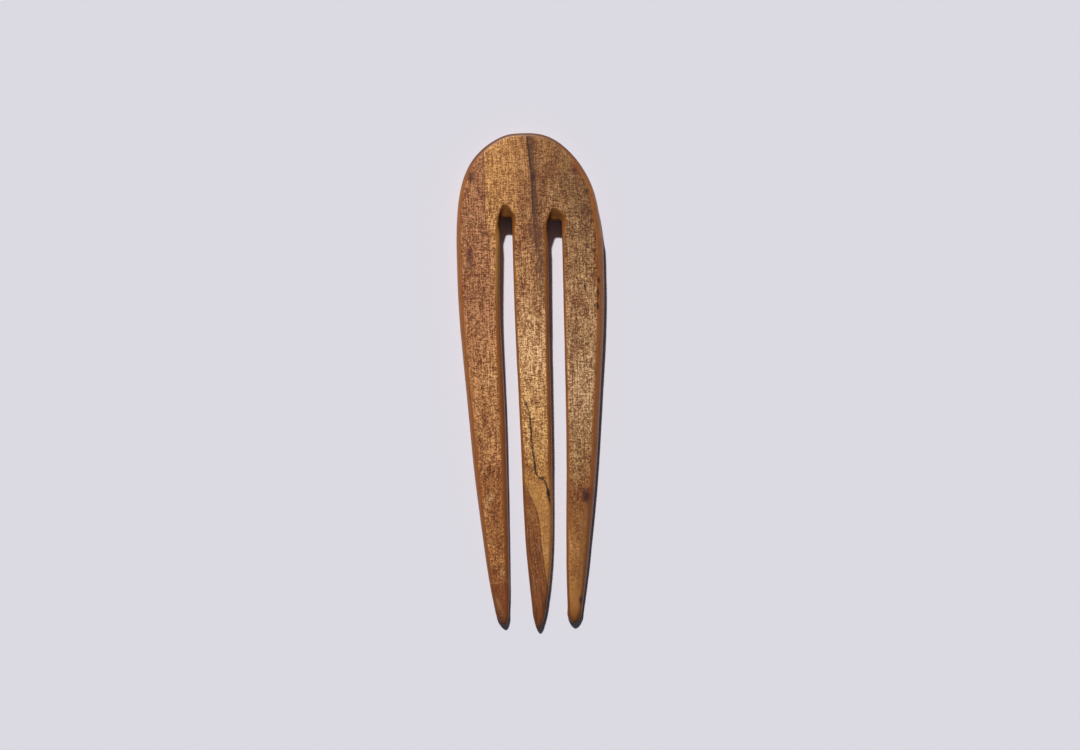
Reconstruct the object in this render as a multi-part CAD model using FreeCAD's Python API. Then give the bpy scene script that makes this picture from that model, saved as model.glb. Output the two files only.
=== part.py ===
import FreeCAD, Part

# Three-prong hair fork, carved from one plank of figured hardwood.
#
# It lies on its flat underside at Z = 0, with the head towards +Y, the three tips towards -Y
# and its width along X.  A "station" is the distance from the top of the head, measured
# towards the tips, so Y = LENGTH / 2 - station.  All sizes are millimetres.

import math
import os

from FreeCAD import Vector

# Driving dimensions
LENGTH = 152.0
HALF_WIDTH = 22.5
WIDEST_STATION = 42.0
PLANK_THICKNESS = 6.5
TIP_THICKNESS = 2.3

# Where the outer prongs' noses and the middle prong's nose end
LEFT_TIP_STATION = 150.5
RIGHT_TIP_STATION = 150.6
TIP_TAPER_STATION = 143.6

# The closed ends of the two slots
LEFT_SLOT_STATION = 25.7
RIGHT_SLOT_STATION = 27.0
SLOT_CORNER = 0.8

# Radii of the rounded edges on the show face and of the eased edges underneath
SHOW_ROUND = 1.0
UNDERSIDE_ROUND = 0.65

# Height that parts the show face's edges from the underside's
FACE_DIVIDE = 0.5

# The filed bevel that runs from the show face down into each slot's closed end
BEVEL_DEPTH = 2.2
BEVEL_REACH = 40.0

UP_PRONG = (0, -1)
DOWN_PRONG = (0, 1)
TO_THE_LEFT = (-1, 0)

# Side view of the show face, as control points drawn past both ends: (station, height)
PROFILE_OVERRUN = 3.0
THICKNESS_LINE = [
    (-PROFILE_OVERRUN, PLANK_THICKNESS),
    (16.0, PLANK_THICKNESS),
    (36.0, PLANK_THICKNESS),
    (76.0, 5.4),
    (118.0, 4.1),
    (142.0, 2.9),
    (LENGTH + PROFILE_OVERRUN, TIP_THICKNESS),
]

# Plan outline, walked clockwise: node -> (x, station, heading)
NODES = {
    "head top": (-0.6, 0.0, (1, 0)),
    "right shoulder": (HALF_WIDTH, WIDEST_STATION, DOWN_PRONG),
    "right flank": (17.58, 112.0, (-0.123, 1)),
    "right tip outside": (13.4, TIP_TAPER_STATION, (-0.17, 1)),
    "right tip inside": (8.5, TIP_TAPER_STATION, (-0.02, -1)),
    "right prong inner side": (9.5, 95.0, (0.02, -1)),
    "right slot right": (9.9, RIGHT_SLOT_STATION + SLOT_CORNER, UP_PRONG),
    "right slot end right": (9.9 - SLOT_CORNER, RIGHT_SLOT_STATION, TO_THE_LEFT),
    "right slot end left": (5.6 + SLOT_CORNER, RIGHT_SLOT_STATION, TO_THE_LEFT),
    "right slot left": (5.6, RIGHT_SLOT_STATION + SLOT_CORNER, DOWN_PRONG),
    "middle prong shoulder": (5.47, 40.0, (-0.014, 1)),
    "middle prong right side": (4.95, 105.0, (-0.02, 1)),
    "middle tip right": (2.35, TIP_TAPER_STATION, (-0.17, 1)),
    "middle tip left": (-2.5, TIP_TAPER_STATION, (-0.09, -1)),
    "middle prong left side": (-4.5, 91.5, (-0.022, -1)),
    "left slot right": (-5.3, LEFT_SLOT_STATION + SLOT_CORNER, UP_PRONG),
    "left slot end right": (-5.3 - SLOT_CORNER, LEFT_SLOT_STATION, TO_THE_LEFT),
    "left slot end left": (-9.1 + SLOT_CORNER, LEFT_SLOT_STATION, TO_THE_LEFT),
    "left slot left": (-9.1, LEFT_SLOT_STATION + SLOT_CORNER, DOWN_PRONG),
    "left prong shoulder": (-9.4, 38.0, (-0.03, 1)),
    "left prong inner side": (-8.85, 108.0, DOWN_PRONG),
    "left tip inside": (-9.35, TIP_TAPER_STATION, (-0.1, 1)),
    "left tip outside": (-14.2, TIP_TAPER_STATION, (-0.2, -1)),
    "left flank": (-18.25, 111.0, (-0.11, -1)),
    "left shoulder": (-HALF_WIDTH, WIDEST_STATION, UP_PRONG),
}

# Curves between the nodes, from the left slot's closed end: (from, points passed on the way, to)
OUTLINE = [
    ("left slot end right", [], "left slot end left"),
    ("left slot end left", "corner", "left slot left"),
    ("left slot left", [], "left prong shoulder"),
    ("left prong shoulder", [(-9.7, 51.0), (-9.2, 75.0)], "left prong inner side"),
    ("left prong inner side", [(-9.02, 134.0)], "left tip inside"),
    ("left tip inside", [(-9.8, 148.9), (-10.8, LEFT_TIP_STATION), (-12.4, 149.3)], "left tip outside"),
    ("left tip outside", [(-16.6, 126.5)], "left flank"),
    ("left flank", [(-20.6, 80.0), (-22.0, 60.0)], "left shoulder"),
    ("left shoulder", [(-21.9, 23.4), (-18.9, 11.2), (-13.1, 4.0), (-7.3, 0.75)], "head top"),
    (
        "head top",
        [(6.6, 1.3), (11.9, 4.9), (17.75, 12.7), (20.9, 21.9), (22.15, 31.0)],
        "right shoulder",
    ),
    ("right shoulder", [(21.85, 61.0), (20.2, 83.0)], "right flank"),
    ("right flank", [(15.8, 127.4)], "right tip outside"),
    ("right tip outside", [(12.1, 149.2), (10.4, RIGHT_TIP_STATION), (8.85, 149.2)], "right tip inside"),
    ("right tip inside", [(8.6, 127.0)], "right prong inner side"),
    ("right prong inner side", [(9.75, 61.0)], "right slot right"),
    ("right slot right", "corner", "right slot end right"),
    ("right slot end right", [], "right slot end left"),
    ("right slot end left", "corner", "right slot left"),
    ("right slot left", [], "middle prong shoulder"),
    ("middle prong shoulder", [(5.2, 70.0)], "middle prong right side"),
    ("middle prong right side", [(4.7, 117.3), (3.35, 137.0)], "middle tip right"),
    ("middle tip right", [(1.2, 149.0), (-0.4, LENGTH), (-1.95, 149.0)], "middle tip left"),
    ("middle tip left", [(-3.75, 127.0)], "middle prong left side"),
    ("middle prong left side", [(-5.25, 55.0)], "left slot right"),
    ("left slot right", "corner", "left slot end right"),
]

# Pointed arch that each bevel makes on the show face, and its foot down in the slot.
# Each side runs from the arch's peak out to the prong and down along it.
LEFT_ARCH = {
    "peak": (-7.35, 21.0),
    "left": [(-8.25, 22.0), (-9.0, 24.2), (-10.0, 27.2), (-10.6, 31.0), (-9.9, BEVEL_REACH)],
    "right": [(-6.5, 22.1), (-5.4, 23.6), (-4.6, 24.6), (-4.35, 28.0), (-4.9, BEVEL_REACH)],
    "foot": (-7.35, LEFT_SLOT_STATION + 0.1),
    "foot left": [(-8.5, LEFT_SLOT_STATION + 0.6), (-9.0, 30.0), (-9.3, BEVEL_REACH)],
    "foot right": [(-5.9, LEFT_SLOT_STATION + 0.6), (-5.4, 30.0), (-5.4, BEVEL_REACH)],
}
RIGHT_ARCH = {
    "peak": (7.45, 22.8),
    "left": [(6.6, 23.8), (6.0, 25.7), (5.0, 28.4), (4.55, 32.0), (4.7, BEVEL_REACH)],
    "right": [(8.4, 23.6), (9.8, 24.5), (10.8, 25.6), (11.0, 28.6), (10.2, BEVEL_REACH)],
    "foot": (7.45, RIGHT_SLOT_STATION + 0.1),
    "foot left": [(6.2, RIGHT_SLOT_STATION + 0.6), (5.7, 31.0), (5.5, BEVEL_REACH)],
    "foot right": [(9.3, RIGHT_SLOT_STATION + 0.6), (9.8, 31.0), (9.8, BEVEL_REACH)],
}


def point(x, station, z=0.0):
    return Vector(x, LENGTH / 2 - station, z)


def heading_vector(heading):
    vector = Vector(heading[0], -heading[1], 0)
    return vector.normalize()


def corner_arc(start, end, heading):
    """Quarter circle that leaves start along heading and ends square to it."""
    corner = start + heading * (end - start).dot(heading)
    centre = start + end - corner
    middle = centre + (corner - centre) * math.sqrt(0.5)
    return Part.Arc(start, middle, end).toShape()


def curve_between(start_name, via, end_name):
    """One edge of the plan outline, tangent to its neighbours at both nodes."""
    start = NODES[start_name]
    end = NODES[end_name]
    start_point = point(start[0], start[1])
    end_point = point(end[0], end[1])
    leaving = heading_vector(start[2])
    arriving = heading_vector(end[2])
    if via == "corner":
        return corner_arc(start_point, end_point, leaving)
    if not via and leaving.cross(arriving).Length == 0:
        return Part.LineSegment(start_point, end_point).toShape()
    spline = Part.BSplineCurve()
    through = [start_point] + [point(x, station) for x, station in via] + [end_point]
    spline.interpolate(Points=through, InitialTangent=leaving, FinalTangent=arriving)
    return spline.toShape()


def spline_edge(points):
    spline = Part.BSplineCurve()
    spline.interpolate(points)
    return spline.toShape()


def side_profile():
    """Slab with the fork's side view: a flat underside and a show face that falls to the tips."""
    half_span = HALF_WIDTH + PROFILE_OVERRUN
    controls = [Vector(-half_span, LENGTH / 2 - station, height) for station, height in THICKNESS_LINE]
    show_line = Part.BSplineCurve()
    show_line.buildFromPoles(controls)
    head_foot = Vector(-half_span, controls[0].y, 0)
    tip_foot = Vector(-half_span, controls[-1].y, 0)
    edges = [
        Part.LineSegment(head_foot, controls[0]).toShape(),
        show_line.toShape(),
        Part.LineSegment(controls[-1], tip_foot).toShape(),
        Part.LineSegment(tip_foot, head_foot).toShape(),
    ]
    return Part.Face(Part.Wire(edges)).extrude(Vector(2 * half_span, 0, 0))


def sawn_blank(outline_edges):
    """The plan outline sawn through the plank, then thinned towards the tips."""
    plan = Part.Face(Part.Wire(outline_edges))
    sawn = plan.extrude(Vector(0, 0, 2 * PLANK_THICKNESS))
    return sawn.common(side_profile()).Solids[0]


def middle_of(edge):
    first, last = edge.ParameterRange
    return edge.valueAt((first + last) / 2)


def is_upright(edge):
    ends = [vertex.Point for vertex in edge.Vertexes]
    return len(ends) == 2 and math.hypot(ends[0].x - ends[1].x, ends[0].y - ends[1].y) < 0.001


def rounded(solid):
    """Round the show face's edges, then ease the underside's."""
    level_edges = [edge for edge in solid.Edges if not is_upright(edge)]
    show_edges = [edge for edge in level_edges if middle_of(edge).z > FACE_DIVIDE]
    solid = solid.makeFillet(SHOW_ROUND, show_edges)
    level_edges = [edge for edge in solid.Edges if not is_upright(edge)]
    under_edges = [edge for edge in level_edges if middle_of(edge).z < FACE_DIVIDE]
    return solid.makeFillet(UNDERSIDE_ROUND, under_edges)


def arch_wire(peak, left, right, shift, z):
    """Closed loop at height z: up the left side to the peak, down the right side and across."""
    left_side = [point(x, station + shift, z) for x, station in reversed(left)]
    right_side = [point(x, station + shift, z) for x, station in right]
    top = point(peak[0], peak[1] + shift, z)
    edges = [
        spline_edge(left_side + [top]),
        spline_edge([top] + right_side),
        Part.LineSegment(right_side[-1], left_side[0]).toShape(),
    ]
    return Part.Wire(edges)


def bevel_cutter(arch):
    """Tapering plug, as wide as the arch on the show face and as the slot at its foot."""
    overrun = 0.6
    foot_height = PLANK_THICKNESS - BEVEL_DEPTH
    slope = (arch["foot"][1] - arch["peak"][1]) / BEVEL_DEPTH
    face_loop = arch_wire(arch["peak"], arch["left"], arch["right"], 0.0, PLANK_THICKNESS)
    foot_loop = arch_wire(arch["foot"], arch["foot left"], arch["foot right"], 0.0, foot_height)
    raised_loop = arch_wire(
        arch["peak"], arch["left"], arch["right"], -slope * overrun, PLANK_THICKNESS + overrun
    )
    lower = Part.makeLoft([foot_loop, face_loop], True, True)
    upper = Part.makeLoft([face_loop, raised_loop], True, True)
    return [lower, upper]


def hair_fork():
    outline_edges = [curve_between(*piece) for piece in OUTLINE]
    fork = rounded(sawn_blank(outline_edges))
    for arch in (LEFT_ARCH, RIGHT_ARCH):
        for cutter in bevel_cutter(arch):
            fork = fork.cut(cutter)
    return fork.Solids[0]


os.makedirs("parts", exist_ok=True)
fork = hair_fork()
box = fork.optimalBoundingBox(False)
print("valid", fork.isValid(), "volume", round(fork.Volume, 1))
print("box", [round(v, 3) for v in (box.XMin, box.YMin, box.ZMin, box.XMax, box.YMax, box.ZMax)])
fork.exportStep("parts/hair_fork.step")
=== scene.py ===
import math

import bpy
import bmesh
import numpy as np
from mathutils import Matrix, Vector, noise
from mathutils.bvhtree import BVHTree


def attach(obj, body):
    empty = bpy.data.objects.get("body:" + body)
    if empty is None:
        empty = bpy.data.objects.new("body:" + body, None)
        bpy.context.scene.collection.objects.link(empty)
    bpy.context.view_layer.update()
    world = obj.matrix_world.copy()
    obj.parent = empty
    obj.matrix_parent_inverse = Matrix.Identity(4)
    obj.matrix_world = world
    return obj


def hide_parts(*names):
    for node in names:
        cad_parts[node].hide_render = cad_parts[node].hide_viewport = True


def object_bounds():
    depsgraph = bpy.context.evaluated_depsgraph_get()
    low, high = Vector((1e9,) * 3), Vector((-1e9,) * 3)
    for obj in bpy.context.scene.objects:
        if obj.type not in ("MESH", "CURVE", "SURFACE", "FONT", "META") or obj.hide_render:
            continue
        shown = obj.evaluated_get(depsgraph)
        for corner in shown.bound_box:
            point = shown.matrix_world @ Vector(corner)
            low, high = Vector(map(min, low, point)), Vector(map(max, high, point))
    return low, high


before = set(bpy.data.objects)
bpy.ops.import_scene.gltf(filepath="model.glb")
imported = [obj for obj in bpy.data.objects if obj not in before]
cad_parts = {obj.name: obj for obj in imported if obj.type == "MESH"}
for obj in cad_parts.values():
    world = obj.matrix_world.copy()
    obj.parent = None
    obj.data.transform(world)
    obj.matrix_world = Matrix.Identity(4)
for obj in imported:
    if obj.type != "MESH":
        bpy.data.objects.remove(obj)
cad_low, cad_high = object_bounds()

# Hair fork in figured hardwood.  Sizes are in millimetres, in the fork's own frame, unless a
# comment says metres: x runs across, station from the top of the head towards the tips, and z up
# out of the show face.
MM = 0.001
HEAD_Y = cad_high.y / MM
LENGTH = 2 * HEAD_Y

# ---------------------------------------------------------------- the carved piece

WELD_DISTANCE = 0.001
VOXEL = 0.40

# Times the mesh is eased: straight after remeshing, once laid on the CAD shape, and on worn edges
FAIRING_PASSES = 5
SURFACE_PASSES = 3
EASING_PASSES = 2

# Hollows left by the knife, and the finer ripple within them
CARVING_WAVELENGTH = 11.0
CARVING_DEPTH = 0.09
CARVING_SEED = 3.0
RIPPLE_WAVELENGTH = 3.2
RIPPLE_DEPTH = 0.02
RIPPLE_SEED = 8.0

# Height at which the sides stand upright, and how nearly upright a face has to be to count
WALL_HEIGHT = 0.85
UPRIGHT = 0.3

# The head's sides end, and the slots' straight walls begin, at these stations.  Below the head a
# wall belongs to the left or right prong where it stands beyond one of these values of x.
HEAD_END = 25.0
SLOT_WALLS_BEGIN = HEAD_END + 3.0
LEFT_OUTER_X = -9.5
LEFT_INNER_X = -8.0
RIGHT_INNER_X = 7.0
RIGHT_OUTER_X = 11.0

# How far in from each side the show face has been rubbed away: (station, width)
LEFT_OUTER = [(0, 1.2), (6, 1.8), (40, 2.3), (110, 2.4), (135, 1.7), (152, 1.0)]
LEFT_INNER = [(26, 1.4), (45, 1.9), (75, 2.5), (105, 2.7), (135, 2.0), (152, 1.0)]
MIDDLE_LEFT = [(26, 0.9), (60, 1.0), (100, 1.3), (152, 1.0)]
MIDDLE_RIGHT = [(26, 1.4), (45, 1.9), (110, 1.9), (135, 1.4), (152, 1.0)]
RIGHT_INNER = [(26, 0.9), (60, 1.0), (100, 1.3), (135, 1.0), (152, 1.0)]
RIGHT_OUTER = [(0, 1.2), (6, 1.9), (20, 2.8), (40, 3.4), (95, 3.2), (112, 2.4), (135, 1.9), (152, 1.1)]
SLOT_END_WIDTH = 0.9

# Deepest that the rounding goes, as a share of the thickness, and how close to a wall a point
# takes its direction from the wall itself
DEEPEST_ROUNDING = 0.6
TOUCHING = 0.1

# Show face heights are read at this spacing along the fork, from points this near each station,
# and stop short of the tips by this much
HEIGHT_SPACING = 3.0
HEIGHT_WINDOW = 1.0
HEIGHT_END_MARGIN = 4.0


def welded_copy(source):
    """A copy of a CAD mesh with its split vertices joined."""
    mesh = source.data.copy()
    work = bmesh.new()
    work.from_mesh(mesh)
    bmesh.ops.remove_doubles(work, verts=work.verts, dist=WELD_DISTANCE * MM)
    work.to_mesh(mesh)
    work.free()
    return mesh


def remeshed(mesh, name):
    """An even mesh of the same shape, as a new object."""
    holder = bpy.data.objects.new("holder", mesh)
    bpy.context.scene.collection.objects.link(holder)
    voxels = holder.modifiers.new("voxels", "REMESH")
    voxels.mode = "VOXEL"
    voxels.voxel_size = VOXEL * MM
    graph = bpy.context.evaluated_depsgraph_get()
    even = bpy.data.meshes.new_from_object(holder.evaluated_get(graph))
    bpy.data.objects.remove(holder)
    piece = bpy.data.objects.new(name, even)
    bpy.context.scene.collection.objects.link(piece)
    return piece


def positions(mesh):
    """Places of a mesh's vertices, in metres."""
    flat = np.empty(len(mesh.vertices) * 3, np.float32)
    mesh.vertices.foreach_get("co", flat)
    return flat.reshape(-1, 3).astype(float)


def normals(mesh):
    flat = np.empty(len(mesh.vertices) * 3, np.float32)
    mesh.vertex_normals.foreach_get("vector", flat)
    return flat.reshape(-1, 3).astype(float)


def move_to(mesh, points):
    mesh.vertices.foreach_set("co", points.astype(np.float32).ravel())
    mesh.update()


def edge_pairs(mesh):
    flat = np.empty(len(mesh.edges) * 2, np.int32)
    mesh.edges.foreach_get("vertices", flat)
    return flat.reshape(-1, 2)


def faired(points, pairs, passes):
    """Points eased towards the mean of their neighbours."""
    count = np.bincount(pairs.ravel(), minlength=len(points))[:, None]
    for _ in range(passes):
        total = np.zeros_like(points)
        for axis in range(3):
            total[:, axis] += np.bincount(pairs[:, 0], points[pairs[:, 1], axis], len(points))
            total[:, axis] += np.bincount(pairs[:, 1], points[pairs[:, 0], axis], len(points))
        points = points + 0.5 * (total / count - points)
    return points


def on_surface(points, tree):
    """Each point moved to the nearest place on the surface that the tree holds."""
    return np.array([tree.find_nearest(Vector(p))[0][:] for p in points])


def carving(points_mm, wavelength, seed):
    """Smooth values between -1 and 1 that wander over the surface.  The seed picks the pattern."""
    offset = Vector((seed, seed * 0.7, seed * 1.3))
    return np.array([noise.noise(Vector(p) / wavelength + offset) for p in points_mm])


def upright_faces(mesh):
    """Search tree of the faces that make the fork's sides."""
    faces = [tuple(face.vertices) for face in mesh.polygons if abs(face.normal.z) < UPRIGHT]
    return BVHTree.FromPolygons([vertex.co[:] for vertex in mesh.vertices], faces)


def worn_width(x, station, facing):
    """Width of the rounding beside a side wall that faces left (negative) or right."""
    sides = [
        ((facing < 0) & ((x < LEFT_OUTER_X) | (station < HEAD_END)), LEFT_OUTER),
        ((facing > 0) & ((x > RIGHT_OUTER_X) | (station < HEAD_END)), RIGHT_OUTER),
        ((facing > 0) & (x < LEFT_INNER_X), LEFT_INNER),
        ((facing < 0) & (x > RIGHT_INNER_X), RIGHT_INNER),
        ((facing < 0) & (station > SLOT_WALLS_BEGIN), MIDDLE_LEFT),
        ((facing > 0) & (station > SLOT_WALLS_BEGIN), MIDDLE_RIGHT),
    ]
    widths = [np.interp(station, *zip(*side)) for _, side in sides]
    return np.select([where for where, _ in sides], widths, SLOT_END_WIDTH)


def show_face_height(points_mm, station):
    """Height of the show face at each point's station, from the highest points near it."""
    stops = np.arange(HEIGHT_SPACING, LENGTH - HEIGHT_END_MARGIN, HEIGHT_SPACING)
    heights = [points_mm[np.abs(station - stop) < HEIGHT_WINDOW, 2].max() for stop in stops]
    return np.interp(station, stops, heights)


def rubbed_round(points, walls):
    """The upper edges worn to an oval section whose width changes from side to side.

    Also says which points were moved.
    """
    points_mm = points / MM
    station = HEAD_Y - points_mm[:, 1]
    found = [walls.find_nearest((x, y, WALL_HEIGHT * MM)) for x, y, _ in points]
    wall = np.array([place[:2] for place, _, _, _ in found]) / MM
    outward = np.array([normal[:2] for _, normal, _, _ in found])
    outward /= np.linalg.norm(outward, axis=1)[:, None]
    inset = np.linalg.norm(points_mm[:, :2] - wall, axis=1)
    clear = inset > TOUCHING
    outward[clear] = (wall[clear] - points_mm[clear, :2]) / inset[clear, None]
    width = worn_width(wall[:, 0], HEAD_Y - wall[:, 1], outward[:, 0])
    top = show_face_height(points_mm, station)
    depth = np.minimum(width, DEEPEST_ROUNDING * top)
    across = (width - inset) / width
    up = (points_mm[:, 2] - (top - depth)) / depth
    reach = np.hypot(across, up)
    proud = (across > 0) & (up > 0) & (reach > 1)
    shrink = np.where(proud, 1 - 1 / np.maximum(reach, 1), 0.0)
    points_mm[:, :2] -= outward * (shrink * across * width)[:, None]
    points_mm[:, 2] -= shrink * up * depth
    return points_mm * MM, proud


def carve_fork():
    """The whole fork, with worn edges and knife marks that only cut into the CAD shape."""
    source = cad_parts["hair_fork"]
    welded = welded_copy(source)
    tree = BVHTree.FromPolygons(
        [vertex.co[:] for vertex in welded.vertices],
        [tuple(face.vertices) for face in welded.polygons],
    )
    piece = remeshed(welded, "carved_fork")
    mesh = piece.data
    pairs = edge_pairs(mesh)
    points = faired(positions(mesh), pairs, FAIRING_PASSES)
    points = faired(on_surface(points, tree), pairs, SURFACE_PASSES)
    points, proud = rubbed_round(points, upright_faces(welded))
    points = np.where(proud[:, None], faired(points, pairs, EASING_PASSES), points)
    move_to(mesh, points)
    outward = normals(mesh)
    points_mm = points / MM
    wander = carving(points_mm, CARVING_WAVELENGTH, CARVING_SEED) * CARVING_DEPTH
    ripple = carving(points_mm, RIPPLE_WAVELENGTH, RIPPLE_SEED) * RIPPLE_DEPTH
    push = np.minimum(wander + ripple, 0.0)
    move_to(mesh, points + outward * (push * MM)[:, None])
    mesh.polygons.foreach_set("use_smooth", np.ones(len(mesh.polygons), bool))
    mesh.materials.clear()
    return piece


# ---------------------------------------------------------------- wood


class Nodes:
    """Short names for building one material's node tree."""

    def __init__(self, name):
        self.material = bpy.data.materials.new(name)
        self.material.use_nodes = True
        self.tree = self.material.node_tree
        self.shader = self.tree.nodes["Principled BSDF"]

    def add(self, kind, **settings):
        node = self.tree.nodes.new(kind)
        for name, value in settings.items():
            setattr(node, name, value)
        return node

    def plug(self, socket, value):
        if isinstance(value, bpy.types.NodeSocket):
            self.tree.links.new(value, socket)
        elif isinstance(value, tuple) and len(value) == 3 and socket.type == "RGBA":
            socket.default_value = (*value, 1.0)
        else:
            socket.default_value = value

    def math(self, operation, *values, clamp=False):
        node = self.add("ShaderNodeMath", operation=operation, use_clamp=clamp)
        for socket, value in zip(node.inputs, values):
            self.plug(socket, value)
        return node.outputs[0]

    def vector(self, x, y, z):
        node = self.add("ShaderNodeCombineXYZ")
        for socket, value in zip(node.inputs, (x, y, z)):
            self.plug(socket, value)
        return node.outputs[0]

    def step(self, value, low, high):
        """0 below low, 1 above high, smooth between.  low may be the larger."""
        node = self.add("ShaderNodeMapRange", interpolation_type="SMOOTHSTEP", clamp=True)
        rising = high > low
        self.plug(node.inputs["Value"], value)
        self.plug(node.inputs["From Min"], min(low, high))
        self.plug(node.inputs["From Max"], max(low, high))
        self.plug(node.inputs["To Min"], 0.0 if rising else 1.0)
        self.plug(node.inputs["To Max"], 1.0 if rising else 0.0)
        return node.outputs["Result"]

    def noise(self, vector, scale=1.0, detail=2.0, roughness=0.5, distortion=0.0):
        node = self.add("ShaderNodeTexNoise", noise_dimensions="3D")
        self.plug(node.inputs["Vector"], vector)
        node.inputs["Scale"].default_value = scale
        node.inputs["Detail"].default_value = detail
        node.inputs["Roughness"].default_value = roughness
        node.inputs["Distortion"].default_value = distortion
        return node.outputs["Fac"]

    def mix(self, factor, first, second, blend="MIX"):
        node = self.add("ShaderNodeMix", data_type="RGBA", blend_type=blend, clamp_factor=True)
        self.plug(node.inputs["Factor"], factor)
        self.plug(node.inputs[6], first)
        self.plug(node.inputs[7], second)
        return node.outputs[2]

    def along(self, station, stops):
        """Colour that changes with the station: stops are (station, colour)."""
        first, last = stops[0][0], stops[-1][0]
        place = self.math("DIVIDE", self.math("SUBTRACT", station, first), last - first)
        node = self.add("ShaderNodeValToRGB")
        ramp = node.color_ramp
        ramp.interpolation = "EASE"
        while len(ramp.elements) < len(stops):
            ramp.elements.new(0.5)
        for element, (at, colour) in zip(ramp.elements, stops):
            element.position = (at - first) / (last - first)
            element.color = (*colour, 1.0)
        self.plug(node.inputs[0], place)
        return node.outputs[0]

    def path(self, station, points):
        """x of a line in the figure, as a smooth function of the station: points are (x, station)."""
        xs = [x for x, _ in points]
        low, high = min(xs) - 1.0, max(xs) + 1.0
        first, last = points[0][1], points[-1][1]
        place = self.math("DIVIDE", self.math("SUBTRACT", station, first), last - first, clamp=True)
        node = self.add("ShaderNodeFloatCurve")
        curve = node.mapping.curves[0]
        wanted = [((at - first) / (last - first), (x - low) / (high - low)) for x, at in points]
        curve.points[0].location = wanted[0]
        curve.points[1].location = wanted[-1]
        for place_and_height in wanted[1:-1]:
            curve.points.new(*place_and_height)
        node.mapping.update()
        self.plug(node.inputs["Value"], place)
        scaled = self.math("MULTIPLY", node.outputs[0], high - low)
        return self.math("ADD", scaled, low)


def srgb(red, green, blue):
    """Linear colour from the familiar 0-255 values."""
    def linear(value):
        value = value / 255
        return value / 12.92 if value <= 0.04045 else ((value + 0.055) / 1.055) ** 2.4
    return (linear(red), linear(green), linear(blue))


# Colours of the flat show face down each prong, and of the sanded edges: (station, colour)
LEFT_FACE = [
    (0, srgb(180, 124, 74)),
    (30, srgb(172, 118, 74)),
    (60, srgb(180, 126, 80)),
    (98, srgb(176, 122, 76)),
    (110, srgb(154, 98, 54)),
    (128, srgb(164, 110, 62)),
    (140, srgb(138, 80, 38)),
    (152, srgb(124, 70, 34)),
]
MIDDLE_FACE = [
    (0, srgb(168, 116, 68)),
    (28, srgb(148, 98, 58)),
    (42, srgb(172, 124, 80)),
    (66, srgb(202, 156, 110)),
    (88, srgb(196, 148, 94)),
    (110, srgb(180, 126, 68)),
    (128, srgb(162, 104, 54)),
    (142, srgb(136, 78, 36)),
    (152, srgb(124, 70, 34)),
]
# The right prong's own colour, painted lighter and creamier around station 82 as a sheen of light
RIGHT_FACE_AND_SHEEN = [
    (0, srgb(142, 100, 58)),
    (28, srgb(142, 102, 64)),
    (50, srgb(158, 118, 80)),
    (82, srgb(180, 142, 104)),
    (98, srgb(154, 114, 74)),
    (112, srgb(138, 90, 48)),
    (128, srgb(166, 114, 60)),
    (144, srgb(166, 114, 58)),
    (152, srgb(136, 84, 42)),
]
EDGE_WOOD = [
    (0, srgb(160, 100, 50)),
    (60, srgb(164, 100, 50)),
    (110, srgb(156, 92, 44)),
    (152, srgb(132, 72, 34)),
]

# How the oil, the dark flecks and the pale flecks, which are painted glints, change the wood's colour
OIL = (0.98, 0.92, 0.80)
DARK_FLECK = (0.42, 0.28, 0.20)
GLINT_FLECK = (1.95, 2.25, 2.65)

# Colours of single features in the figure
DARK_CLOUD = srgb(124, 70, 40)
PALE_CLOUD = srgb(206, 164, 120)
OUTSIDE_RING = srgb(156, 102, 72)
INSIDE_RING = srgb(192, 138, 82)
RING = srgb(92, 50, 30)
STAIN = srgb(118, 80, 50)
SHOULDER = srgb(104, 70, 42)
STREAK = srgb(78, 46, 28)
STREAK_EDGE = srgb(60, 34, 22)
STREAK_TAIL = srgb(100, 58, 40)
RED_SIDE = srgb(134, 78, 40)
RED_WAVE = srgb(88, 44, 22)
EYE_RING = srgb(84, 40, 20)
HONEY_SIDE = srgb(198, 142, 76)
BOUNDARY = srgb(88, 46, 24)
# Painted shade on the right prong's outer side, away from the light
RIGHT_PAINTED_SHADE = srgb(128, 80, 40)
EDGE_FIBRE = srgb(108, 58, 26)
EDGE_FLECK = srgb(96, 50, 24)
END_GRAIN = srgb(84, 50, 26)
CROTCH = srgb(190, 132, 62)
ZONE = srgb(44, 24, 18)
TIP_SHADE = srgb(104, 56, 26)
PALE_LINE = srgb(188, 132, 84)
LEFT_TIP_SHADE = srgb(118, 64, 32)
DARK = srgb(58, 30, 30)
RED = srgb(120, 58, 28)
BLACK = srgb(34, 22, 20)

# Where one prong's colour gives way to the next one's, in x
LEFT_TO_MIDDLE = (-8.0, -5.0)
MIDDLE_TO_RIGHT = (4.5, 8.0)

# Lines in the figure: (x, station)
RING_LINE = [(-13.4, 0), (-13.45, 14), (-13.4, 23.5), (-12.5, 34.8), (-12.0, 48), (-11.8, 70)]
STREAK_LINE = [(-0.3, 0), (0.35, 7), (0.85, 13.4), (1.0, 24.6), (1.5, 33), (2.6, 45), (3.2, 60)]
ZONE_LINE = [
    (-4.2, 80),
    (-2.2, 83.7),
    (-1.3, 89.3),
    (-1.2, 93.5),
    (-0.5, 100),
    (0.2, 104.6),
    (2.05, 106.3),
    (3.2, 108.6),
    (3.9, 113.5),
]
MIDDLE_BOUNDARY = [
    (-4.6, 102),
    (-2.9, 108.5),
    (0.4, 117.8),
    (0.9, 124),
    (1.3, 129),
    (2.5, 139.3),
    (3.0, 146),
]
# Where the painted shade on the right prong's outer side begins
RIGHT_SHADE_EDGE = [(14.6, 112), (13.4, 122), (12.2, 132), (11.6, 140)]

# The eye low in the middle prong: (x, station), (half width, half length), and the radians that
# its wave of rings goes through in each radius
EYE = (-1.1, 129.6)
EYE_RADII = (0.75, 2.6)
EYE_RING_RATE = 9.0

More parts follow.
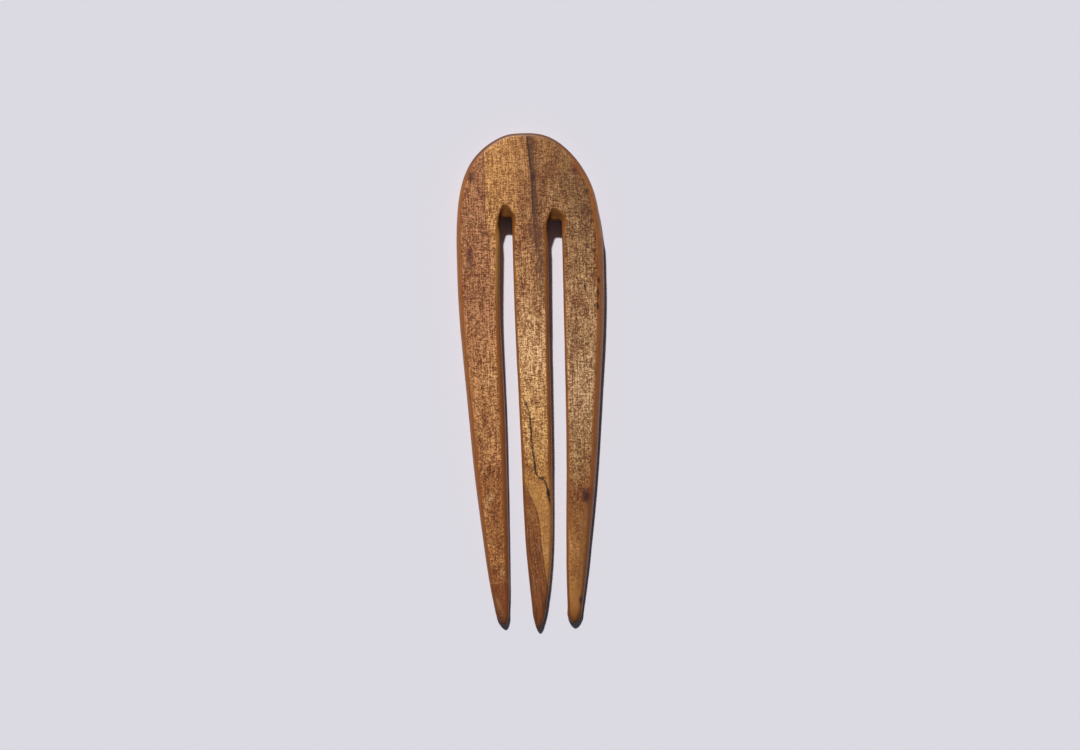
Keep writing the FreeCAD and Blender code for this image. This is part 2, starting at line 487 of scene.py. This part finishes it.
# Knots and specks: (x, station), (half width, half length), strength, colour
KNOT_SOFTNESS = 0.7
KNOTS = [
    ((2.9, 13.6), (2.0, 1.1), 0.5, RED),
    ((1.5, 13.6), (0.65, 1.2), 0.9, DARK),
    ((-17.5, 13.1), (0.8, 1.5), 0.85, DARK),
    ((-17.0, 11.6), (1.2, 2.4), 0.35, RED),
    ((14.4, 11.5), (1.0, 1.8), 0.75, RED),
    ((14.2, 11.9), (0.4, 0.7), 0.7, DARK),
    ((-19.2, 24.4), (0.5, 0.6), 0.7, DARK),
    ((17.9, 18.1), (0.6, 0.7), 0.75, DARK),
    ((-18.3, 38.2), (1.1, 2.8), 0.6, DARK),
    ((-18.0, 40.0), (1.9, 5.0), 0.25, RED),
    ((20.7, 45.6), (0.35, 1.0), 0.85, BLACK),
    ((20.4, 49.2), (0.35, 1.6), 0.85, BLACK),
    ((20.1, 53.4), (0.4, 1.1), 0.85, BLACK),
    ((16.4, 47.4), (0.45, 0.6), 0.85, BLACK),
    ((17.3, 35.2), (0.55, 0.6), 0.8, DARK),
    ((18.6, 44.0), (0.3, 0.5), 0.7, DARK),
    ((-20.7, 46.4), (0.35, 0.35), 0.7, RED),
    ((-19.4, 55.0), (0.35, 0.35), 0.7, RED),
    ((-0.3, 101.8), (0.5, 0.9), 0.7, BLACK),
    ((1.6, 105.6), (0.9, 0.5), 0.8, BLACK),
    ((3.5, 110.4), (0.6, 1.5), 0.85, BLACK),
    ((15.6, 110.6), (2.2, 3.0), 0.6, RED),
    ((15.1, 111.5), (0.95, 1.7), 0.92, DARK),
    ((14.2, 109.6), (0.5, 0.9), 0.6, DARK),
    ((12.7, 143.3), (0.6, 1.1), 0.8, DARK),
]

# Scales of the stretched figures, per millimetre: (across the fork, down it)
CLOUD_SCALE = (0.28, 0.13)
SPECKLE_SCALE = (2.3, 1.8)
MOTTLE_SCALE = (0.8, 0.55)
CROSS_SCALE = (0.7, 3.4)
FIBRE_SCALE = (2.8, 0.16)
TORN_SCALE = (2.4, 0.25)
WAVE_SCALE = (2.4, 0.10)

# Level surface: how far a normal points up where the sanded edge ends and the flat face begins
EDGE_ENDS = 0.90
FACE_BEGINS = 0.985

# How far a normal points towards the top of the head where end grain begins and where it is full
END_GRAIN_BEGINS = 0.1
END_GRAIN_FULL = 0.6

# Finish of the wood
EDGE_ROUGHNESS = 0.40
FACE_ROUGHER_BY = 0.14
END_GRAIN_ROUGHER_BY = 0.2
MOTTLE_ROUGHNESS = 0.3
WOOD_SPECULAR = 0.42
GRAIN_STRENGTH = 0.7
GRAIN_DEPTH = 0.10


def coordinates(n):
    """x, station and z in millimetres."""
    place = n.add("ShaderNodeTexCoord").outputs["Object"]
    parts = n.add("ShaderNodeSeparateXYZ")
    n.plug(parts.inputs[0], place)
    x = n.math("DIVIDE", parts.outputs["X"], MM)
    station = n.math("SUBTRACT", HEAD_Y, n.math("DIVIDE", parts.outputs["Y"], MM))
    z = n.math("DIVIDE", parts.outputs["Z"], MM)
    return x, station, z


def warped(n, value, vector, reach, scale):
    """The value, wandering by up to reach over the surface."""
    wander = n.math("SUBTRACT", n.noise(vector, scale, 2.0), 0.5)
    return n.math("MULTIPLY_ADD", wander, 2.0 * reach, value)


def stretched_noise(n, x, station, z, scale, detail=3.0, roughness=0.6, distortion=0.0):
    """Noise with one scale across the fork and another down it."""
    across, down = scale
    vector = n.vector(
        n.math("MULTIPLY", x, across),
        n.math("MULTIPLY", station, down),
        n.math("MULTIPLY", z, across),
    )
    return n.noise(vector, 1.0, detail, roughness, distortion)


def near(n, value, centre, half_width, softness):
    """1 within half_width of centre, falling to 0 over softness."""
    away = n.math("ABSOLUTE", n.math("SUBTRACT", value, centre))
    return n.step(away, half_width + softness, half_width)


def ellipse(n, x, station, at, radii):
    """Square of the distance from an ellipse's centre: 1 on the ellipse itself."""
    across = n.math("DIVIDE", n.math("SUBTRACT", x, at[0]), radii[0])
    down = n.math("DIVIDE", n.math("SUBTRACT", station, at[1]), radii[1])
    return n.math("ADD", n.math("POWER", across, 2.0), n.math("POWER", down, 2.0))


def spot(n, x, station, at, radii, softness):
    """1 inside an ellipse lying in the show face, falling to 0 outside it."""
    away = n.math("SQRT", ellipse(n, x, station, at, radii))
    return n.step(away, 1.0 + softness, 1.0 - softness)


def times(n, *factors):
    """Product of masks."""
    product = factors[0]
    for factor in factors[1:]:
        product = n.math("MULTIPLY", product, factor)
    return product


def tint(n, colour, mask, strength, shade):
    """The colour turned towards shade, by strength where the mask is 1."""
    return n.mix(n.math("MULTIPLY", mask, strength), colour, shade)


def surface_masks(n, place):
    """How far the surface lies level, and how much of it is the head's end grain."""
    facing = n.add("ShaderNodeSeparateXYZ")
    n.plug(facing.inputs[0], n.add("ShaderNodeTexCoord").outputs["Normal"])
    waver = n.math("MULTIPLY", n.math("SUBTRACT", n.noise(place, 0.7, 2.0), 0.5), 0.03)
    level = n.math("ADD", n.math("ABSOLUTE", facing.outputs["Z"]), waver)
    flat = n.step(level, EDGE_ENDS, FACE_BEGINS)
    end_grain = n.step(facing.outputs["Y"], END_GRAIN_BEGINS, END_GRAIN_FULL)
    return flat, end_grain


def prong_colours(n, xw, sw):
    """Broad colour of the show face, blended from prong to prong through the head, with painted sheen on the
    right prong.
    """
    left_and_middle = n.mix(n.step(xw, *LEFT_TO_MIDDLE), n.along(sw, LEFT_FACE), n.along(sw, MIDDLE_FACE))
    return n.mix(n.step(xw, *MIDDLE_TO_RIGHT), left_and_middle, n.along(sw, RIGHT_FACE_AND_SHEEN))


def add_clouds(n, face, x, station, z):
    """Large soft patches, darker and paler than the wood around them."""
    cloud = stretched_noise(n, x, station, z, CLOUD_SCALE, roughness=0.55)
    face = tint(n, face, n.step(cloud, 0.50, 0.30), 0.55, DARK_CLOUD)
    return tint(n, face, n.step(cloud, 0.52, 0.72), 0.30, PALE_CLOUD)


def add_ring(n, face, x, station, sw, xw):
    """Growth ring down the left prong: pinker brown outside it, honey yellow inside."""
    off_ring = n.math("SUBTRACT", x, n.path(station, RING_LINE))
    outside = times(n, n.step(off_ring, 0.2, -0.2), n.step(station, 80, 50))
    face = tint(n, face, outside, 0.6, OUTSIDE_RING)
    honey = times(n, n.step(off_ring, -0.1, 0.4), n.step(xw, -2.0, -5.5), n.step(sw, 44, 20))
    face = tint(n, face, honey, 0.7, INSIDE_RING)
    line = times(n, near(n, off_ring, 0.0, 0.06, 0.22), n.step(station, 60, 30))
    return tint(n, face, line, 0.5, RING)


def add_stain(n, face, x, station):
    """Browner wood to the right of the streak, and darker still by the head's right edge."""
    off_streak = n.math("SUBTRACT", x, n.path(station, STREAK_LINE))
    beside = times(n, n.step(off_streak, -0.1, 0.5), n.step(off_streak, 8.0, 2.0))
    face = tint(n, face, times(n, beside, n.step(station, 36, 16)), 0.55, STAIN)
    shoulder = times(n, n.step(x, 9.0, 18.0), n.step(station, 44, 22))
    return tint(n, face, shoulder, 0.55, SHOULDER)


def add_streak(n, face, x, station, z):
    """Dark streak down the head, crisp on its left, running on into the middle prong."""
    off_streak = n.math("SUBTRACT", x, n.path(station, STREAK_LINE))
    torn = stretched_noise(n, x, station, z, TORN_SCALE)
    band = times(n, n.step(off_streak, -0.15, 0.1), n.step(off_streak, 2.2, 0.9))
    band = times(n, band, n.step(station, 54, 30), n.step(torn, 0.24, 0.48))
    face = tint(n, face, band, 0.72, STREAK)
    line = times(n, near(n, off_streak, 0.12, 0.14, 0.24), n.step(station, 30, 18))
    face = tint(n, face, line, 0.8, STREAK_EDGE)
    tail = times(n, near(n, off_streak, 0.6, 1.2, 1.8), n.step(station, 24, 30), n.step(station, 60, 42))
    return tint(n, face, times(n, tail, n.step(torn, 0.30, 0.56)), 0.6, STREAK_TAIL)


def fine_figure(n, x, xw, station, sw, z, place):
    """Dark flecks and pale flecks painted as glints of light, 0 to 1, with the fibre, mottle and cross grain
    they come from.
    """
    speckle = stretched_noise(n, x, station, z, SPECKLE_SCALE)
    mottle = stretched_noise(n, x, station, z, MOTTLE_SCALE, distortion=0.6)
    cross = stretched_noise(n, x, station, z, CROSS_SCALE, detail=2.0, distortion=0.2)
    fibre = stretched_noise(n, xw, station, z, FIBRE_SCALE, roughness=0.65)
    patch = n.noise(place, 0.13, 2.0)
    combed = n.step(n.math("MULTIPLY_ADD", n.step(sw, 100, 64), 0.2, patch), 0.48, 0.66)
    combed = n.math("MAXIMUM", combed, times(n, near(n, x, -2.4, 2.0, 1.2), n.step(station, 26, 18)))
    tone = n.math("MULTIPLY_ADD", speckle, 0.74, n.math("MULTIPLY", mottle, 0.26))
    tone = n.math("MULTIPLY_ADD", times(n, n.math("SUBTRACT", cross, 0.5), combed), 0.55, tone)
    tone = n.math("MULTIPLY_ADD", times(n, n.math("SUBTRACT", fibre, 0.5), combed), 0.45, tone)
    tone = n.math("MULTIPLY_ADD", n.math("SUBTRACT", fibre, 0.5), 0.12, tone)
    dark = n.step(tone, 0.520, 0.385)
    # Pale flecks: painted glints, cream highlights of light off the grain
    glints = n.step(tone, 0.500, 0.635)
    return dark, glints, fibre, mottle, cross


def add_flecks(n, face, x, sw, dark, glints):
    """Oiled wood with its dark flecks and its pale flecks painted as glints, weaker at the tips, at the
    head's end and low on the right prong.
    """
    figure = n.math("MULTIPLY_ADD", n.step(sw, 134, 146), -0.65, 1.0)
    figure = n.math("MULTIPLY_ADD", n.step(sw, 26, 12), -0.15, figure)
    low_right = times(n, n.step(x, 6.5, 7.5), n.step(sw, 108, 117), -0.45)
    figure = n.math("ADD", figure, low_right)
    face = n.mix(1.0, face, OIL, "MULTIPLY")
    face = n.mix(n.math("MULTIPLY", dark, figure), face, DARK_FLECK, "MULTIPLY")
    # The pale flecks lift the colour as painted glints
    return n.mix(n.math("MULTIPLY", glints, figure), face, GLINT_FLECK, "MULTIPLY")


def edge_colour(n, x, station, sw, dark, fibre, end_grain):
    """Sanded edges, darker on the head's end grain and honey yellow beside the left slot."""
    edge = n.along(sw, EDGE_WOOD)
    edge = tint(n, edge, n.step(fibre, 0.50, 0.28), 0.55, EDGE_FIBRE)
    edge = tint(n, edge, dark, 0.25, EDGE_FLECK)
    edge = tint(n, edge, end_grain, 0.9, END_GRAIN)
    crotch = times(n, near(n, x, -10.2, 1.1, 0.4), n.step(station, 24, 28), n.step(station, 62, 40))
    return tint(n, edge, crotch, 0.7, CROTCH)


def add_middle_diagonal(n, colour, x, station, sw):
    """Slanting line low in the middle prong: red brown with an eye on its left, honey on its right."""
    off_line = n.math("SUBTRACT", x, n.path(sw, MIDDLE_BOUNDARY))
    red_side = times(n, n.step(off_line, 0.15, -0.15), n.step(x, -8, -7), n.step(station, 104, 110))
    waves = stretched_noise(n, off_line, station, 0.0, WAVE_SCALE, distortion=0.6)
    colour = tint(n, colour, red_side, 0.55, RED_SIDE)
    colour = tint(n, colour, times(n, red_side, n.step(waves, 0.52, 0.40)), 0.65, RED_WAVE)

    eye = ellipse(n, x, sw, EYE, EYE_RADII)
    rings = n.math("SINE", n.math("MULTIPLY", n.math("SQRT", eye), EYE_RING_RATE))
    ringed = times(n, red_side, n.step(eye, 7.0, 1.5), n.step(rings, -0.1, 0.7))
    colour = tint(n, colour, ringed, 0.6, EYE_RING)

    honey_side = times(n, n.step(off_line, -0.1, 0.3), n.step(x, 7, 6))
    honey_side = times(n, honey_side, n.step(station, 100, 112), n.step(station, 150, 138))
    colour = tint(n, colour, honey_side, 0.45, HONEY_SIDE)
    line = times(n, near(n, off_line, 0.0, 0.05, 0.25), n.step(station, 106, 110), n.step(station, 146, 140))
    return tint(n, colour, line, 0.55, BOUNDARY)


def add_right_painted_shade(n, colour, x, station, sw):
    """Painted shade on the outer side of a slanting line low in the right prong, the side away from the
    light.
    """
    off_line = n.math("SUBTRACT", x, n.path(sw, RIGHT_SHADE_EDGE))
    painted_shade = times(n, n.step(off_line, -0.1, 0.2), n.step(station, 110, 114), n.step(station, 150, 134))
    return tint(n, colour, painted_shade, 0.6, RIGHT_PAINTED_SHADE)


def add_zone_line(n, colour, x, station, sw, place):
    """Thin, broken black line that winds down the middle prong."""
    off_line = n.math("SUBTRACT", x, n.path(sw, ZONE_LINE))
    line = times(n, near(n, off_line, 0.0, 0.12, 0.4), n.step(station, 79, 84), n.step(station, 115, 112))
    broken = n.step(n.noise(place, 1.1, 2.0), 0.26, 0.46)
    return tint(n, colour, times(n, line, broken), 0.9, ZONE)


def add_knots(n, colour, x, station, place):
    """Knots and specks with ragged outlines."""
    ragged_x = warped(n, x, place, 0.35, 1.3)
    ragged_station = warped(n, station, place, 0.4, 1.7)
    for at, radii, strength, shade in KNOTS:
        mask = spot(n, ragged_x, ragged_station, at, radii, KNOT_SOFTNESS)
        colour = tint(n, colour, mask, strength, shade)
    return colour


def shade_tips(n, colour, x, sw):
    """Darker tips, and a pale line across the left prong with darker wood below it."""
    colour = tint(n, colour, n.step(sw, 143, 152), 0.25, TIP_SHADE)
    pale_line = times(n, near(n, x, -11.5, 3.5, 0.5), near(n, sw, 137.3, 0.1, 0.35))
    colour = tint(n, colour, pale_line, 0.4, PALE_LINE)
    below = times(n, n.step(x, -7.0, -7.6), n.step(sw, 136.9, 137.9))
    return tint(n, colour, below, 0.35, LEFT_TIP_SHADE)


def add_finish(n, flat, end_grain, fibre, mottle, cross):
    """Sheen, stronger on the edges than on the face, and the relief of the grain."""
    rough = n.math("MULTIPLY_ADD", flat, FACE_ROUGHER_BY, EDGE_ROUGHNESS)
    rough = n.math("MULTIPLY_ADD", n.math("SUBTRACT", mottle, 0.5), MOTTLE_ROUGHNESS, rough)
    rough = n.math("MULTIPLY_ADD", end_grain, END_GRAIN_ROUGHER_BY, rough)
    n.plug(n.shader.inputs["Roughness"], rough)
    n.shader.inputs["Specular IOR Level"].default_value = WOOD_SPECULAR
    height = n.math("MULTIPLY_ADD", mottle, 0.5, n.math("MULTIPLY", fibre, 0.6))
    height = n.math("MULTIPLY_ADD", cross, 0.4, height)
    bump = n.add("ShaderNodeBump")
    bump.inputs["Strength"].default_value = GRAIN_STRENGTH
    bump.inputs["Distance"].default_value = GRAIN_DEPTH * MM
    n.plug(bump.inputs["Height"], height)
    n.plug(n.shader.inputs["Normal"], bump.outputs["Normal"])


def wood():
    """Oiled hardwood.  xw and sw are x and station made to wander, so that no boundary runs straight."""
    n = Nodes("figured_wood")
    x, station, z = coordinates(n)
    place = n.vector(x, station, z)
    xw = warped(n, x, place, 0.6, 0.16)
    sw = warped(n, station, place, 2.0, 0.22)
    flat, end_grain = surface_masks(n, place)
    dark, glints, fibre, mottle, cross = fine_figure(n, x, xw, station, sw, z, place)

    face = prong_colours(n, xw, sw)
    face = add_clouds(n, face, x, station, z)
    face = add_ring(n, face, x, station, sw, xw)
    face = add_stain(n, face, x, station)
    face = add_flecks(n, face, x, sw, dark, glints)
    face = add_streak(n, face, x, station, z)

    edge = edge_colour(n, x, station, sw, dark, fibre, end_grain)
    colour = n.mix(flat, edge, face)
    colour = add_middle_diagonal(n, colour, x, station, sw)
    # Painted shade on the right prong's outer side
    colour = add_right_painted_shade(n, colour, x, station, sw)
    colour = add_zone_line(n, colour, x, station, sw, place)
    colour = add_knots(n, colour, x, station, place)
    colour = shade_tips(n, colour, x, sw)
    n.plug(n.shader.inputs["Base Color"], colour)
    add_finish(n, flat, end_grain, fibre, mottle, cross)
    return n.material


# ---------------------------------------------------------------- floor, light and camera

PAPER_COLOUR = (0.80, 0.785, 0.85, 1.0)
PAPER_ROUGHNESS = 0.9
PAPER_SPECULAR = 0.2
PAPER_GRAIN_SCALE = 900.0
PAPER_GRAIN_STRENGTH = 0.12
PAPER_GRAIN_DEPTH = 0.1

# Half the width of the floor, in metres
FLOOR_HALF_WIDTH = 30.0

# The way the sunlight travels, its strength, and how wide the sun looks
SUN_DIRECTION = Vector((0.237, -1.207, -1.0))
SUN_STRENGTH = 4.15
SUN_SPREAD = math.radians(3.0)

# Light from all round, and the pale backdrop that only the camera sees
FILL_COLOUR = (0.95, 0.93, 1.0, 1.0)
FILL_STRENGTH = 0.055
BACKDROP_COLOUR = (0.72, 0.70, 0.76, 1.0)

# Camera: place and clipping distances in metres, turn in radians, lens and sensor in millimetres
CAMERA_PLACE = (0.00199, 0.00197, 0.922)
NEAREST_SEEN = 0.01
FARTHEST_SEEN = 100.0
CAMERA_TURN = -0.0272
FOCAL_LENGTH = 100.0
SENSOR_WIDTH = 36.0


def paper():
    n = Nodes("pale_paper")
    place = n.add("ShaderNodeTexCoord").outputs["Object"]
    n.shader.inputs["Base Color"].default_value = PAPER_COLOUR
    n.shader.inputs["Roughness"].default_value = PAPER_ROUGHNESS
    n.shader.inputs["Specular IOR Level"].default_value = PAPER_SPECULAR
    bump = n.add("ShaderNodeBump")
    bump.inputs["Strength"].default_value = PAPER_GRAIN_STRENGTH
    bump.inputs["Distance"].default_value = PAPER_GRAIN_DEPTH * MM
    n.plug(bump.inputs["Height"], n.noise(place, PAPER_GRAIN_SCALE, 3.0))
    n.plug(n.shader.inputs["Normal"], bump.outputs["Normal"])
    return n.material


def lay_floor():
    half = FLOOR_HALF_WIDTH
    corners = [(-half, -half, 0), (half, -half, 0), (half, half, 0), (-half, half, 0)]
    mesh = bpy.data.meshes.new("floor")
    mesh.from_pydata(corners, [], [(0, 1, 2, 3)])
    mesh.materials.append(paper())
    floor = bpy.data.objects.new("floor", mesh)
    bpy.context.scene.collection.objects.link(floor)


def light_scene():
    """One sun, a faint fill from all round, and a pale backdrop that only the camera sees."""
    sun = bpy.data.lights.new("key", "SUN")
    sun.energy = SUN_STRENGTH
    sun.angle = SUN_SPREAD
    lamp = bpy.data.objects.new("key", sun)
    lamp.rotation_mode = "QUATERNION"
    lamp.rotation_quaternion = SUN_DIRECTION.to_track_quat("-Z", "Y")
    bpy.context.scene.collection.objects.link(lamp)
    world = bpy.data.worlds.new("studio")
    bpy.context.scene.world = world
    world.use_nodes = True
    tree = world.node_tree
    fill = tree.nodes["Background"]
    fill.inputs["Color"].default_value = FILL_COLOUR
    fill.inputs["Strength"].default_value = FILL_STRENGTH
    backdrop = tree.nodes.new("ShaderNodeBackground")
    backdrop.inputs["Color"].default_value = BACKDROP_COLOUR
    choose = tree.nodes.new("ShaderNodeMixShader")
    ray = tree.nodes.new("ShaderNodeLightPath")
    tree.links.new(ray.outputs["Is Camera Ray"], choose.inputs[0])
    tree.links.new(fill.outputs[0], choose.inputs[1])
    tree.links.new(backdrop.outputs[0], choose.inputs[2])
    tree.links.new(choose.outputs[0], tree.nodes["World Output"].inputs["Surface"])
    bpy.context.scene.view_settings.view_transform = "Standard"


def set_camera():
    """Straight above the fork, turned a little about the line of sight."""
    lens = bpy.data.cameras.new("camera")
    lens.lens = FOCAL_LENGTH
    lens.sensor_width = SENSOR_WIDTH
    lens.clip_start = NEAREST_SEEN
    lens.clip_end = FARTHEST_SEEN
    camera = bpy.data.objects.new("camera", lens)
    camera.location = CAMERA_PLACE
    camera.rotation_euler = (0.0, 0.0, CAMERA_TURN)
    bpy.context.scene.collection.objects.link(camera)
    bpy.context.scene.camera = camera


fork = carve_fork()
fork.data.materials.append(wood())
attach(fork, "root")
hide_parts("hair_fork")
lay_floor()
light_scene()
set_camera()
